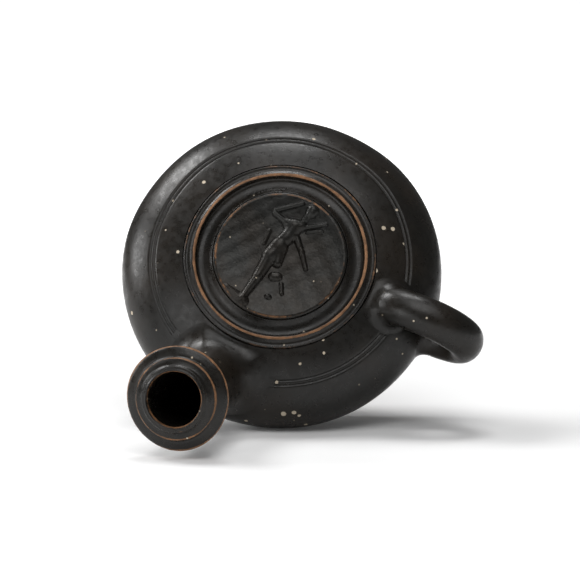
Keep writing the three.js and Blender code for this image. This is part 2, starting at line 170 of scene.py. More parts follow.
class GuttusFinish(bpy.types.PropertyGroup):
    """Colours and wear of the glaze."""

    glaze: colour("Glaze", "Black glaze", (0.0075, 0.0068, 0.0055))
    brown: colour("Brown", "Thin glaze that fired brown", (0.022, 0.016, 0.011))
    sheen: colour("Sheen", "Grey sheen of the medallion's glaze", (0.02, 0.02, 0.0185))
    clay: colour("Clay", "Orange clay where the glaze is worn", (0.3, 0.15, 0.07))
    deposit: colour("Deposit", "Pale lime deposit in chips and hollows", (0.55, 0.47, 0.36))
    roughness: share("Roughness", "Roughness of sound glaze", 0.32)
    wear: share("Wear", "Amount of worn edge", 0.5)


class Body:
    """The thrown body: an elliptical shoulder over an elliptical bowl, on the vessel's own axis."""

    def __init__(self, s):
        self.radius = s.body_diameter / 2
        self.middle = s.belly_height
        self.rim = s.rim_height
        self.seat = s.frame_diameter / 2 + SEAT_GAP
        self.foot = s.foot_diameter / 2
        self.shoulder_semi = (self.rim - self.middle) / math.sqrt(1 - (self.seat / self.radius) ** 2)
        self.bowl_semi = (self.middle - s.foot_height) / math.sqrt(1 - (self.foot / self.radius) ** 2)

    def semi(self, angle):
        return np.where(angle < 0, self.bowl_semi, self.shoulder_semi)

    def angle_at(self, radius):
        return np.arccos(radius / self.radius)

    def outline(self, angle, grow=0.0):
        """Radius and height of the ellipse at an angle from its widest line, grown along the normal."""
        semi = self.semi(angle)
        normal = np.stack([np.cos(angle) / self.radius, np.sin(angle) / semi], -1)
        normal /= np.linalg.norm(normal, axis=-1, keepdims=True)
        point = np.stack([self.radius * np.cos(angle), self.middle + semi * np.sin(angle)], -1)
        return point + normal * np.asarray(grow)[..., None]

    def against(self, points):
        """Turn and ellipse angle at which points lie against the body."""
        height = points[..., 2] - self.middle
        semi = np.where(height < 0, self.bowl_semi, self.shoulder_semi)
        around = np.arctan2(points[..., 1], points[..., 0])
        return around, np.arctan2(height / semi, np.hypot(points[..., 0], points[..., 1]) / self.radius)

    def onto(self, points, grow, limit=None):
        """Points moved onto the grown surface along the ellipse, kept outside a radius if one is given."""
        around, angle = self.against(points)
        if limit is not None:
            angle = np.minimum(angle, self.angle_at(limit))
        flat = self.outline(angle, grow)
        return np.stack([flat[..., 0] * np.cos(around), flat[..., 0] * np.sin(around), flat[..., 1]], -1)

    def outside(self, points, grow):
        core = np.array([0.0, 0.0, self.middle])
        reach = np.linalg.norm(self.onto(points, grow) - core, axis=-1)
        return np.linalg.norm(points - core, axis=-1) > reach


class Spout:
    """The spout's middle line, a cubic curve in the plane x = 0 from the shoulder to the mouth."""

    def __init__(self, s, body):
        root = body.outline(body.angle_at(body.radius - s.neck_inset))
        self.mouth_axis = self.lean(s.mouth_lean)
        self.mouth_centre = np.array([0.0, -s.mouth_reach, s.mouth_height])
        start = np.array([0.0, -root[0], root[1]])
        end = self.mouth_centre - self.mouth_axis * s.lip_depth
        self.span = np.linalg.norm(end - start)
        reach = self.span / 3
        leaving = start + self.lean(s.neck_lean) * reach
        arriving = end - self.mouth_axis * reach
        self.control = np.array([start, leaving, arriving, end])
        self.radii = (s.neck_diameter / 2, s.neck_top / 2)
        self.bores = (s.neck_bore / 2, s.throat_diameter / 2)

    @staticmethod
    def lean(angle):
        return np.array([0.0, -math.sin(angle), math.cos(angle)])

    def centre(self, part):
        """Bernstein sum of the four control points, and its tangent, at shares of the line."""
        t = np.clip(part, 0.0, 1.0)[..., None]
        weights = [(1 - t) ** 3, 3 * t * (1 - t) ** 2, 3 * t ** 2 * (1 - t), t ** 3]
        point = sum(w * c for w, c in zip(weights, self.control))
        legs = np.diff(self.control, axis=0)
        tangent = (1 - t) ** 2 * legs[0] + 2 * t * (1 - t) * legs[1] + t ** 2 * legs[2]
        tangent /= np.linalg.norm(tangent, axis=-1, keepdims=True)
        return point + tangent * (np.minimum(part, 0.0) * self.span)[..., None], tangent

    def radius(self, part, pair=None):
        low, high = pair or self.radii
        return low + (high - low) * np.clip(part, 0, None) ** 2

    def skin(self, along, angle, grow=0.0):
        """Point of the spout's outside, along metres out from its root, at an angle round it from +x."""
        part = along / self.span
        return self.ring(part, self.radius(part) + grow, angle)

    def ring(self, part, radius, angle):
        centre, tangent = self.centre(np.asarray(part, float))
        side = np.array([1.0, 0.0, 0.0])
        up = np.cross(tangent, side)
        spread = np.asarray(radius)[..., None]
        return centre + spread * (np.cos(angle)[..., None] * side + np.sin(angle)[..., None] * up)


class Loop:
    """The ring handle's middle line, an ellipse standing in a plane through the vessel's axis."""

    def __init__(self, s, body):
        self.wide = s.loop_width / 2
        self.tall = s.loop_height / 2
        self.width = s.rod_width / 2
        self.thick = s.rod_thickness / 2
        self.reach = s.handle_reach - self.thick - self.wide
        self.height = body.middle + s.handle_lift
        self.outward = np.array([math.cos(s.handle_turn), math.sin(s.handle_turn), 0.0])
        self.across = np.array([-math.sin(s.handle_turn), math.cos(s.handle_turn), 0.0])
        self.body = body

    def centre(self, around):
        radius = self.reach + self.wide * np.cos(around)
        height = self.height + self.tall * np.sin(around)
        return radius[..., None] * self.outward + height[..., None] * np.array([0.0, 0.0, 1.0])

    def skin(self, around, angle, grow=0.0):
        """Point of the oval rod at a turn round the loop and an angle round the rod."""
        normal = np.cos(around)[..., None] * self.tall * self.outward
        normal = normal + (np.sin(around) * self.wide)[..., None] * np.array([0.0, 0.0, 1.0])
        normal /= np.linalg.norm(normal, axis=-1, keepdims=True)
        sideways = ((self.width + grow) * np.cos(angle))[..., None] * self.across
        outwards = ((self.thick + grow) * np.sin(angle))[..., None] * normal
        return self.centre(around) + sideways + outwards

    def crossing(self, outside, inside):
        """Turn at which the middle line goes into the body, found by halving."""
        for _ in range(40):
            half = (outside + inside) / 2
            if self.body.outside(self.centre(np.array(half)), 0.0):
                outside = half
            else:
                inside = half
        return outside


def warp(points, amount):
    """A slow swell, the same for every piece: each coordinate moves by two sines of the others."""
    x, y, z = (points / (6.1 * MM)).T
    wave = np.stack([
        np.sin(0.83 * y + 0.6) + 0.5 * np.sin(1.31 * z + 0.41 * y),
        np.sin(0.71 * z + 0.57 * x + 1.9) + 0.5 * np.sin(1.17 * x - 0.37 * z),
        np.sin(0.67 * x + 2.2) * np.cos(0.59 * y) + 0.5 * np.sin(1.23 * y + 0.29 * x),
    ], -1)
    return points + amount * wave


def rounded(corners, reach, steps=5):
    """An outline whose corners become quadratic arcs that start and end reach before and after them."""
    corners = np.asarray(corners, float)
    back = np.roll(corners, 1, 0) - corners
    ahead = np.roll(corners, -1, 0) - corners
    before = np.linalg.norm(back, axis=1, keepdims=True)
    after = np.linalg.norm(ahead, axis=1, keepdims=True)
    start = corners + back / before * np.minimum(reach, before * 0.45)
    end = corners + ahead / after * np.minimum(reach, after * 0.45)
    t = np.linspace(0, 1, steps)[:, None, None]
    arcs = (1 - t) ** 2 * start + 2 * t * (1 - t) * corners + t ** 2 * end
    return arcs.transpose(1, 0, 2).reshape(-1, 2)


def refined(outline, step):
    """A closed outline with points added so that none are further apart than step."""
    ahead = np.roll(outline, -1, 0)
    counts = np.maximum(np.ceil(np.linalg.norm(ahead - outline, axis=1) / step).astype(int), 1)
    part = np.concatenate([np.arange(n) / n for n in counts])[:, None]
    return np.repeat(outline, counts, 0) * (1 - part) + np.repeat(ahead, counts, 0) * part


def revolved(outline, columns):
    """Points of an outline of radius and height at equal turns round the vertical axis."""
    around = np.linspace(0, 2 * np.pi, columns, endpoint=False)
    radius, height = outline[:, :1], outline[:, 1:]
    return np.stack([radius * np.cos(around), radius * np.sin(around), height + 0 * around], -1)


def grid_faces(rows, columns, closed):
    """Quads of a grid that is closed across its columns and, if asked, across its rows."""
    index = np.arange(rows * columns).reshape(rows, columns)
    index = np.hstack([index, index[:, :1]])
    if closed:
        index = np.vstack([index, index[:1]])
    return np.stack([index[:-1, :-1], index[:-1, 1:], index[1:, 1:], index[1:, :-1]], -1)


def make_piece(name, points, faces, node, sizes):
    """A mesh from points in the vessel's own place, swelled, moved to the frame's axis and faced outwards."""
    mesh = bpy.data.meshes.new(name)
    placed = warp(points.reshape(-1, 3), sizes.unevenness) + np.array([AXIS.x, AXIS.y, 0.0])
    mesh.from_pydata(placed.tolist(), [], faces.reshape(-1, faces.shape[-1]).tolist())
    work = bmesh.new()
    work.from_mesh(mesh)
    bmesh.ops.remove_doubles(work, verts=work.verts, dist=1e-7)
    loose = [v for v in work.verts if not v.link_faces]
    bmesh.ops.delete(work, geom=loose, context="VERTS")
    bmesh.ops.recalc_face_normals(work, faces=work.faces)
    work.to_mesh(mesh)
    work.free()
    mesh.shade_smooth()
    mesh.set_sharp_from_angle(angle=math.radians(50))
    piece = bpy.data.objects.new(name, mesh)
    bpy.context.scene.collection.objects.link(piece)
    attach(piece, "root")
    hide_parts(node)
    return piece


def vessel_points(piece):
    """A piece's vertices in the vessel's own place."""
    co = np.empty(len(piece.data.vertices) * 3, np.float32)
    piece.data.vertices.foreach_get("co", co)
    return co.reshape(-1, 3).astype(float) - np.array([AXIS.x, AXIS.y, 0.0])


def paint(piece, wear=0.0, chip=0.0):
    """Keeps how worn and how chipped each vertex is, as attributes that the glaze reads; on the shoulder the
    wear also holds a painted highlight on the lamp side.
    """
    count = len(piece.data.vertices)
    for name, values in (("wear", wear), ("chip", chip)):
        attribute = piece.data.attributes.new(name, "FLOAT", "POINT")
        attribute.data.foreach_set("value", np.full(count, values, np.float32))


def bump(distance, width):
    """A bell curve: one at distance 0 and near nothing past two widths."""
    return np.exp(-(distance / width) ** 2)


# The photograph's camera
FOCAL = 226.7
SENSOR = 36.0
IMAGE = 580
DISTANCE = 1.2
BODY_SHIFT = (-2.744 * MM, 5.599 * MM)
VESSEL_UP = Vector((-0.028, 0.300, 0.9535)).normalized()
PHOTO_TURN = math.radians(29)


def photo_axes():
    """The vessel's axes in the camera's directions, as the columns of a matrix."""
    across = Vector((1, 0, 0))
    across = (across - VESSEL_UP * across.dot(VESSEL_UP)).normalized()
    along = VESSEL_UP.cross(across)
    x = across * math.cos(PHOTO_TURN) - along * math.sin(PHOTO_TURN)
    y = VESSEL_UP.cross(x)
    return Matrix((x, y, VESSEL_UP)).transposed()


def from_camera(direction):
    """A direction given as right, up and towards the camera, in the frame's axes."""
    return photo_axes().transposed() @ Vector(direction)


def camera_place():
    centre = Vector((AXIS.x, AXIS.y, BELLY_HEIGHT))
    return centre - from_camera((BODY_SHIFT[0], BODY_SHIFT[1], -DISTANCE))


def on_shoulder(body, pixel):
    """Where the line of sight through a pixel meets the shoulder's ellipsoid, in the vessel's own place."""
    scale = SENSOR / FOCAL / IMAGE
    sight = from_camera(((pixel[0] - IMAGE / 2) * scale, (IMAGE / 2 - pixel[1]) * scale, -1))
    start = camera_place() - Vector((AXIS.x, AXIS.y, body.middle))
    squeeze = np.array([1 / body.radius, 1 / body.radius, 1 / body.shoulder_semi])
    p, d = np.array(start) * squeeze, np.array(sight) * squeeze
    a, b, c = d @ d, p @ d, p @ p - 1
    root = (-b - math.sqrt(max(b * b - a * c, 0.0))) / a
    return np.array(start + sight * root) + np.array([0.0, 0.0, body.middle])


# Chips and scratches on the shoulder, by the pixel they are seen at, with their radius in millimetres
SHOULDER_CHIPS = {
    "low rim left": ((283.6, 414.0), 1.1),
    "low rim middle": ((294.0, 412.6), 0.9),
    "low rim right": ((299.0, 415.7), 0.7),
    "low edge": ((305.7, 424.5), 0.8),
    "low left": ((246.0, 421.0), 0.7),
    "left": ((131.8, 313.0), 0.8),
    "frame left": ((178.0, 252.0), 0.7),
    "upper left": ((203.7, 182.0), 0.8),
    "top": ((313.8, 139.0), 0.7),
    "lower groove": ((276.7, 382.0), 0.7),
    "beside luting": ((250.7, 363.7), 0.6),
    "below frame": ((300.0, 363.7), 0.6),
    "by the grooves": ((324.0, 353.0), 0.6),
    "frame corner": ((323.0, 339.6), 0.6),
    "upper right": ((397.0, 210.0), 0.6),
    "right": ((404.0, 243.6), 0.6),
    "deposit high": ((383.6, 228.0), 0.9),
    "deposit middle": ((392.7, 229.0), 0.9),
    "deposit low": ((375.0, 270.0), 1.2),
}


def shoulder_chips(body, points):
    """Depth from 0 to 1 of the chips at each point: a rounded pit round each place."""
    depth = np.zeros(len(points))
    for pixel, radius in SHOULDER_CHIPS.values():
        distance = np.linalg.norm(points - on_shoulder(body, pixel), axis=1)
        depth = np.maximum(depth, np.clip(1 - (distance / (radius * MM)) ** 2, 0, 1))
    return depth


def foot_outline(s):
    outer = s.foot_diameter / 2
    tread = outer + s.foot_bulge - s.foot_width / 2
    return [
        (tread - s.foot_tread / 2, 0),
        (tread + s.foot_tread / 2, 0),
        (outer + s.foot_bulge, s.foot_height * 0.22),
        (outer + s.foot_bulge, s.foot_height * 0.5),
        (outer + s.foot_bulge * 0.4, s.foot_height * 0.78),
        (outer, s.foot_height * 0.86),
        (outer, s.foot_height + 0.6 * MM),
        (outer - s.foot_width, s.foot_height + 0.4 * MM),
    ]


def make_foot(s):
    """The foot's outline, rounded and turned."""
    outline = refined(rounded(foot_outline(s), 0.7 * MM), 0.4 * MM)
    faces = grid_faces(len(outline), TURNED_COLUMNS, True)
    piece = make_piece("foot", revolved(outline, TURNED_COLUMNS), faces, "foot_ring", s)
    p = vessel_points(piece)
    widest = s.foot_diameter / 2 + s.foot_bulge
    from_side = np.hypot(p[:, 0], p[:, 1]) - widest
    paint(piece, bump(p[:, 2], 0.9 * MM) + 0.35 * bump(from_side, 0.5 * MM))
    return piece


def make_bowl(s, body):
    """The bowl: outer ellipse, inner ellipse a wall away and a slightly hollow underside, turned."""
    land = body.foot - s.foot_width
    part = np.linspace(0, 1, 12)
    fall = (s.foot_height - s.underside_height) * part ** 2
    underside = np.stack([land * part, s.underside_height + fall], -1)
    outside = body.outline(np.linspace(-body.angle_at(body.foot), 0, 70))
    inside = body.radius - s.body_wall
    floor = s.underside_height + s.body_wall
    angle = np.linspace(0, np.pi / 2, 40)
    inner = np.stack([inside * np.cos(angle), body.middle - (body.middle - floor) * np.sin(angle)], -1)
    inner[-1, 0] = 0.0
    outline = np.vstack([underside, outside, inner])
    faces = grid_faces(len(outline), COLUMNS, False)
    piece = make_piece("bowl", revolved(outline, COLUMNS), faces, "lower_bowl", s)
    paint(piece, 0.25 * bump(vessel_points(piece)[:, 2] - s.foot_height, 1.2 * MM))
    return piece


def shoulder_run(s, body):
    """Outer curve of the shoulder, cut in by a rounded groove at each of two radii."""
    angle = np.linspace(0, body.angle_at(body.seat), 110)
    radius = body.radius * np.cos(angle)
    depth = np.zeros_like(angle)
    for groove in (s.groove_diameter / 2, s.groove_diameter / 2 - s.groove_spacing):
        depth += s.groove_depth * bump(radius - groove, s.groove_width * 0.42)
    return body.outline(angle, -depth)


def make_shoulder(s, body, spout):
    """The shoulder: outer and inner curves turned into one shell, with a hole where the spout stands."""
    inside = body.radius - s.body_wall
    inside_semi = body.shoulder_semi - s.body_wall
    thick = body.seat + 1.5 * MM
    opening = s.plug_diameter / 2 + SEAT_GAP
    ledge = s.rim_height - s.frame_depth
    outer = shoulder_run(s, body)
    angle = np.linspace(math.acos(thick / inside), 0, len(outer))
    inner = np.stack([inside * np.cos(angle), body.middle + inside_semi * np.sin(angle)], -1)
    seat = np.array([(body.seat, ledge), (opening, ledge), (opening, inner[0, 1])])
    outline = np.vstack([outer, seat, inner])
    grid = revolved(outline, COLUMNS)
    faces = grid_faces(len(outline), COLUMNS, True)
    count = len(outer)
    hole = np.zeros(faces.shape[:2], bool)
    centre = (grid[:count - 1] + np.roll(grid[:count - 1], -1, 1)) / 2
    root, axis = spout.centre(np.array(0.0))
    offset = centre - root
    away = np.linalg.norm(offset - (offset @ axis)[..., None] * axis, axis=-1)
    cut = (away < spout.radii[0] - HOLE_MARGIN) & (offset @ axis > -HOLE_DEPTH)
    hole[:count - 1] = cut
    first_inner = count + len(seat)
    hole[first_inner:first_inner + count - 1] = cut[::-1]
    wall = hole_wall(cut, count, first_inner)
    quads = np.vstack([faces[~hole], wall])
    piece = make_piece("shoulder_skin", grid, quads, "shoulder", s)
    p = vessel_points(piece)
    radius = np.hypot(p[:, 0], p[:, 1])
    # The frame's seat is worn, and the wear is made up to three and a half times stronger on the side that
    # faces the upper-left lamps: real wear with a painted highlight on that side.
    left = bump(np.arctan2(p[:, 1], p[:, 0]) - math.radians(150), 0.45)
    paint(piece, 0.3 * bump(radius - body.seat, 0.8 * MM) * (0.4 + left), shoulder_chips(body, p))
    return piece


def hole_wall(cut, count, first_inner):
    """Quads that join the outer and inner skins round a hole, along each edge of a kept and a cut cell."""
    columns = cut.shape[1]

    def outer(row, column):
        return row * columns + column % columns

    def inner(row, column):
        return (first_inner + count - 1 - row) * columns + column % columns

    r, c = np.nonzero(cut & ~np.roll(cut, 1, 1))
    walls = [np.stack([outer(r, c), outer(r + 1, c), inner(r + 1, c), inner(r, c)], -1)]
    r, c = np.nonzero(cut & ~np.roll(cut, -1, 1))
    walls.append(np.stack([outer(r + 1, c + 1), outer(r, c + 1), inner(r, c + 1), inner(r + 1, c + 1)], -1))
    above = np.vstack([cut[1:], np.zeros((1, columns), bool)])
    below = np.vstack([np.zeros((1, columns), bool), cut[:-1]])
    r, c = np.nonzero(cut & ~above)
    walls.append(np.stack([outer(r + 1, c), outer(r + 1, c + 1), inner(r + 1, c + 1), inner(r + 1, c)], -1))
    r, c = np.nonzero(cut & ~below)
    walls.append(np.stack([outer(r, c + 1), outer(r, c), inner(r, c), inner(r, c + 1)], -1))
    return np.vstack(walls)


def make_frame(s):
    """The frame's ridge, raised edge and hollow channel, turned, with its plug below."""
    outer = s.frame_diameter / 2
    edge = s.edge_diameter / 2
    top = s.rim_height + s.edge_height
    floor = top - s.channel_depth
    pocket = s.medallion_diameter / 2 + 0.1 * MM
    width = edge - pocket
    ledge = s.rim_height - s.frame_depth
    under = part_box("medallion_frame")[0].z
    corners = [
        (s.plug_diameter / 2, under),
        (s.plug_diameter / 2, ledge),
        (outer, ledge),
        (outer + 0.1 * MM, s.rim_height - 0.2 * MM),
        (outer - 0.3 * MM, s.rim_height + 0.45 * MM),
        (outer - 1.0 * MM, s.rim_height + 0.1 * MM),
        (edge + 1.4 * MM, s.rim_height + 0.3 * MM),
        (edge + 0.6 * MM, top - 0.15 * MM),
        (edge, top + 0.1 * MM),
        (edge - 0.5 * MM, top - 0.1 * MM),
        (edge - 0.95 * MM, floor + 0.35 * MM),
        (edge - 0.3 * width, floor),
        (edge - 0.5 * width, floor + 0.02 * MM),
        (edge - 0.72 * width, floor + 0.4 * MM),
        (edge - 0.88 * width, floor + 1.0 * MM),
        (pocket, top - 0.3 * MM),
        (pocket, ledge),
        (s.plug_bore / 2, ledge),
        (s.plug_bore / 2, under),
    ]
    outline = refined(rounded(corners, 0.6 * MM, 6), 0.35 * MM)
    faces = grid_faces(len(outline), COLUMNS, True)
    piece = make_piece("frame_skin", revolved(outline, COLUMNS), faces, "medallion_frame", s)
    p = vessel_points(piece)
    radius = np.hypot(p[:, 0], p[:, 1])
    on_edge = bump(radius - edge, 0.55 * MM) * (p[:, 2] > top - 0.6 * MM)
    paint(piece, on_edge + 0.45 * bump(radius - outer + 0.3 * MM, 0.5 * MM))
    return piece


# The relief's forms: each runs from one point to another in millimetres from the medallion's
# middle, with a radius at each end and its height as a share of the relief's height
FIGURE = {
    "head": (10.3, 14.3, 10.7, 15.0, 2.1, 2.2, 0.8),
    "throat": (8.2, 12.2, 9.2, 13.4, 1.3, 1.3, 0.5),
    "shoulders": (2.4, 11.0, 6.6, 10.0, 2.0, 2.2, 0.8),
    "chest": (4.6, 9.8, 2.0, 6.0, 3.0, 2.6, 1.0),
    "waist": (2.0, 6.4, -0.8, 3.4, 2.5, 2.6, 0.9),
    "hips": (-0.4, 3.6, -3.4, 0.4, 2.9, 2.7, 1.0),
    "straight thigh": (-3.2, 0.4, -7.2, -6.8, 2.5, 1.9, 0.95),
    "straight shin": (-7.2, -6.8, -12.0, -14.2, 1.8, 1.2, 0.8),
    "foot": (-11.8, -14.6, -14.2, -15.4, 1.2, 1.0, 0.6),
    "ledge": (-17.4, -11.2, -12.2, -15.2, 1.6, 2.2, 0.5),
    "bent thigh": (0.4, 3.0, -1.0, -2.4, 2.2, 1.7, 0.75),
    "upper arm": (1.2, 12.0, -1.6, 14.4, 1.2, 1.1, 0.65),
    "forearm": (-1.4, 15.4, 7.4, 17.4, 1.0, 0.9, 0.6),
    "side arm": (7.0, 9.4, 15.0, 10.1, 1.0, 0.7, 0.5),
    "side fold": (8.8, 7.9, 13.6, 8.1, 0.7, 0.6, 0.4),
    "back fold": (-3.6, 8.6, -5.4, 4.6, 0.9, 0.8, 0.3),
    "drape top": (5.2, 6.2, 6.8, 1.4, 1.3, 1.0, 0.55),
    "drape end": (6.8, 1.6, 8.2, -4.6, 1.0, 0.8, 0.45),
    "bowl": (-2.2, -7.0, -0.8, -7.0, 1.7, 1.6, 0.5),
    "stand": (0.4, -9.6, 0.6, -13.0, 0.8, 0.7, 0.4),
    "low bump": (-4.0, -13.8, -3.7, -14.0, 1.0, 1.0, 0.4),
}
FIGURE_SIZE = 43.4 * MM
BLEND_SHARPNESS = 7.0


def on_figure(x, y, s):
    """A place on the disc in the figure's own upright, scaled to the width that its sizes are given for."""
    turned, scale = -s.figure_turn, FIGURE_SIZE / s.medallion_diameter
    right = x * math.cos(turned) - y * math.sin(turned)
    up = x * math.sin(turned) + y * math.cos(turned)
    return right * scale, up * scale


def relief(x, y, height):
    """Height of the figure over the field: the smooth union of round-ended, tapering domes."""
    total = np.zeros_like(x)
    for x0, y0, x1, y1, r0, r1, tall in FIGURE.values():
        dx, dy = (x1 - x0) * MM, (y1 - y0) * MM
        along = np.clip(((x - x0 * MM) * dx + (y - y0 * MM) * dy) / (dx * dx + dy * dy), 0, 1)
        distance = np.hypot(x - x0 * MM - along * dx, y - y0 * MM - along * dy)
        radius = (r0 + (r1 - r0) * along) * MM
        dome = np.clip(1 - (distance / radius) ** 2, 0, 1) ** 0.7
        total += np.expm1(BLEND_SHARPNESS * tall * dome)
    return height * np.log1p(total) / BLEND_SHARPNESS


def field(radius, s):
    """Height of the dished disc: a parabola up to the middle of its rim and a rounded rim outside it."""
    rim = s.medallion_diameter / 2 - s.medallion_rim / 2
    top = s.rim_height + s.medallion_rise
    dish = top - s.dish_depth * (1 - np.clip(radius / rim, 0, 1) ** 2.6)
    fall = np.clip((radius - rim) / (s.medallion_rim / 2), 0, 1)
    return dish - 0.8 * MM * (1 - np.sqrt(np.clip(1 - fall ** 2, 0, 1)))


def make_medallion(s):
    """The medallion: a polar grid whose height is the dished field and the relief on it."""
    edge = s.medallion_diameter / 2
    rim = edge - s.medallion_rim * np.linspace(0.95, 0, 22)
    radius = np.concatenate([np.linspace(0, edge - s.medallion_rim, 120), rim])
    around = np.linspace(0, 2 * np.pi, TURNED_COLUMNS, endpoint=False)
    x, y = radius[:, None] * np.cos(around), radius[:, None] * np.sin(around)
    fx, fy = on_figure(x, y, s)
    worn = 0.04 * MM * (np.sin(fx / MM * 0.9 + fy / MM * 0.4) + np.sin(fy / MM * 1.1 - fx / MM * 0.6))
    inner = np.clip((edge - radius[:, None] - 0.6 * MM) / (1.5 * MM), 0, 1)
    z = field(radius, s)[:, None] + (relief(fx, fy, s.relief_height) + worn) * inner
    top = np.stack([x, y, z], -1)
    ledge = s.rim_height - s.frame_depth
    side = np.array([(edge, ledge), (edge * 0.98, ledge - 0.2 * MM), (0.0, ledge - 0.2 * MM)])
    grid = np.vstack([top, revolved(side, TURNED_COLUMNS)])
    faces = grid_faces(len(grid), TURNED_COLUMNS, False)
    piece = make_piece("medallion_relief", grid, faces, "medallion", s)
    p = vessel_points(piece)
    on_rim = bump(np.hypot(p[:, 0], p[:, 1]) - edge + 0.8 * MM, 0.7 * MM)
    raised = relief(*on_figure(p[:, 0], p[:, 1], s), 1.0)
    paint(piece, 0.5 * on_rim + 0.55 * np.clip(raised - 0.75, 0, 1))
    return piece


def make_neck(s, spout):
    """The spout: rings along its line, outside up and bore down, joined at both ends."""
    around = np.linspace(0, 2 * np.pi, SPOUT_COLUMNS, endpoint=False)[None, :]
    outside, bore = np.linspace(*NECK_RUN, 90), np.linspace(*NECK_RUN[::-1], 60)
    walls = []
    for part, pair in ((outside, spout.radii), (bore, spout.bores)):
        radius = spout.radius(part, pair)[:, None] + 0 * around
        walls.append(spout.ring(part[:, None] + 0 * around, radius, around + 0 * radius))
    grid = np.vstack(walls)
    piece = make_piece("neck_skin", grid, grid_faces(len(grid), SPOUT_COLUMNS, True), "neck", s)
    paint(piece)
    return piece


def make_fillet(name, node, s, body, skin_at, width, height):
    """Clay round a rod's root. At each angle a quadratic curve leaves the body along it, turns at the
    corner where the rod comes out, and ends along the rod; a hidden back joins its two edges."""
    columns, rows = SPOUT_COLUMNS, 48
    angle = np.linspace(0, 2 * np.pi, columns, endpoint=False)
    low, high = np.full(columns, -2 * s.body_wall), np.full(columns, 4 * s.body_wall)
    for _ in range(30):
        half = (low + high) / 2
        free = body.outside(skin_at(half, angle), 0.0)
        high, low = np.where(free, half, high), np.where(free, low, half)
    corner = skin_at(high, angle)
    outward = corner - skin_at(high, angle + np.pi)
    outward /= np.linalg.norm(outward, axis=-1, keepdims=True)
    edge = body.onto(corner + outward * width, -FILLET_SUNK, body.seat + 0.1 * MM)
    top = skin_at(high + height, angle, -FILLET_SUNK)
    t = np.linspace(0, 1, rows)[:, None, None]
    curve = (1 - t) ** 2 * edge + 2 * t * (1 - t) * corner + t ** 2 * top
    hidden_top = skin_at(high + height * 0.9, angle, -1.2 * MM)
    hidden_corner = skin_at(high, angle, -1.2 * MM)
    hidden_edge = body.onto(edge, -1.2 * MM)
    hidden = np.stack([hidden_top, hidden_corner, body.onto(hidden_corner, -1.6 * MM), hidden_edge])
    grid = np.vstack([curve, hidden])
    piece = make_piece(name, grid, grid_faces(len(grid), columns, True), node, s)
    paint(piece)
    return piece


def make_neck_fillet(s, body, spout):
    """Clay that flows from the shoulder into the spout."""
    width, height = s.neck_fillet_width, s.neck_fillet_height
    return make_fillet("neck_clay", "neck_luting", s, body, spout.skin, width, height)


def make_mouth(s, spout):
    """The mouth's stepped and domed outline turned round its own axis, then leaned and placed."""
    lip, ridge, inner = s.lip_diameter / 2, s.ridge_diameter / 2, s.inner_ring / 2
    throat, base, low, crown = s.throat_diameter / 2, s.neck_top / 2, -s.lip_depth, s.crown_height
    corners = [
        (throat, low),
        (base, low),
        (base + (lip - base) * 0.1, low + s.lip_depth * 0.3),
        (base + (lip - base) * 0.36, low + s.lip_depth * 0.56),
        (base + (lip - base) * 0.78, low + s.lip_depth * 0.74),
        (lip - 0.1 * MM, -0.8 * MM),
        (lip + 0.05 * MM, 0.2 * MM),
        (lip - 0.6 * MM, 0.9 * MM),
        (ridge + 1.1 * MM, crown * 0.36),
        (ridge + 0.45 * MM, crown * 0.38),
        (ridge, crown * 0.6),
        (ridge - 0.7 * MM, crown * 0.62),
        (inner + 0.5 * MM, crown * 0.74),
        (inner + 0.1 * MM, crown * 0.92),
        (inner - 0.6 * MM, crown * 0.93),
        (throat + 0.5 * MM, crown + 0.1 * MM),
        (throat, crown - 0.5 * MM),
    ]
    outline = refined(rounded(corners, 0.5 * MM, 6), 0.3 * MM)
    angle = math.atan2(spout.mouth_axis[1], spout.mouth_axis[2])
    lean = np.array(Matrix.Rotation(-angle, 3, "X"))
    grid = revolved(outline, TURNED_COLUMNS) @ lean.T + spout.mouth_centre
    piece = make_piece("mouth_skin", grid, grid_faces(len(outline), TURNED_COLUMNS, True), "mouth", s)
    p = (vessel_points(piece) - spout.mouth_centre) @ lean
    radius = np.hypot(p[:, 0], p[:, 1])
    wear = 0.9 * bump(radius - lip, 0.5 * MM)
    wear += 0.7 * bump(radius - ridge, 0.35 * MM) * (p[:, 2] > crown * 0.4)
    wear += 0.7 * bump(radius - throat, 0.5 * MM) * (p[:, 2] > crown * 0.7)
    wear += 0.3 * bump(radius - inner, 0.3 * MM) * (p[:, 2] > 0)
    paint(piece, wear)
    return piece


# Turns of the handle's loop outside and inside the body, between which each root lies
HANDLE_ROOTS = {
    "upper": (math.radians(90), math.radians(150)),
    "lower": (math.radians(-60), math.radians(-130)),
}


def make_handle_fillet(place, s, loop):
    """Clay at the handle's upper or lower root."""
    outside, inside = HANDLE_ROOTS[place]
    root = loop.crossing(outside, inside)
    sense = math.copysign(1, outside - inside)
    speed = math.hypot(loop.wide * math.sin(root), loop.tall * math.cos(root))

    def skin_at(along, angle, grow=0.0):
        return loop.skin(root + sense * along / speed, -sense * angle, grow)

    name, node = f"handle_{place}_clay", f"handle_{place}_luting"
    width, height = s.handle_fillet_width, s.handle_fillet_height
    return make_fillet(name, node, s, loop.body, skin_at, width, height)


def make_handle(s, loop):
    """The handle's oval rod, carried round its elliptical middle line, with both ends inside the body."""
    upper, lower = (loop.crossing(*turns) for turns in HANDLE_ROOTS.values())
    sink = 2 * MM / loop.wide
    around = np.linspace(upper + sink, lower - sink, 200)[:, None]
    angle = np.linspace(0, 2 * np.pi, ROD_COLUMNS, endpoint=False)[None, :]
    rod = loop.skin(around + 0 * angle, angle + 0 * around)
    ends = [np.repeat(row.mean(0)[None, :], ROD_COLUMNS, 0)[None] for row in (rod[0], rod[-1])]
    grid = np.vstack([ends[0], rod, ends[1]])
    piece = make_piece("handle_skin", grid, grid_faces(len(grid), ROD_COLUMNS, False), "handle", s)
    paint(piece)
    return piece


